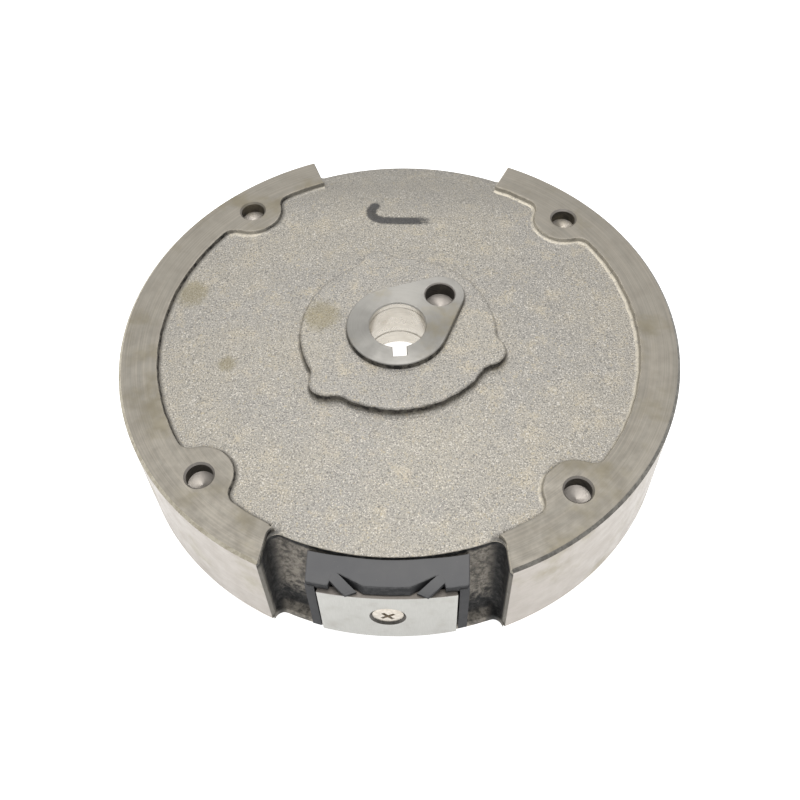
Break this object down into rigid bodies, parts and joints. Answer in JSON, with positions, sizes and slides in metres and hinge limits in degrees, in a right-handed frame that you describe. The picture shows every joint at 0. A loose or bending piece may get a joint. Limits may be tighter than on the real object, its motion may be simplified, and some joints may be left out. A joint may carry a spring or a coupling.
{
  "type": "flywheel",
  "caption": "Cast-iron small-engine flywheel with a tapered keyed hub, blind rim holes and a pole plate over a magnet in a rim pocket.",
  "frame": {"origin": "on the crankshaft bore's axis, in the plane that the rim stands on", "axes": "+Z along the bore axis towards the boss side, -Y towards the middle of the magnet pocket (within about 1 degree)"},
  "size_m": [0.15, 0.1436, 0.0364],
  "materials": {
    "cast_iron": "shot-blasted skin with machined land, rim, boss and bore",
    "holder_plastic": "smooth moulded dark grey",
    "ferrite": "dull black",
    "plate_steel": "satin ground",
    "screw_steel": "plated, slightly warm"
  },
  "bodies": {
    "root": {"flywheel_casting": "cast_iron", "magnet_holder": "holder_plastic", "magnet": "ferrite", "pole_plate": "plate_steel", "pole_screw": "screw_steel"}
  },
  "joints": []
}
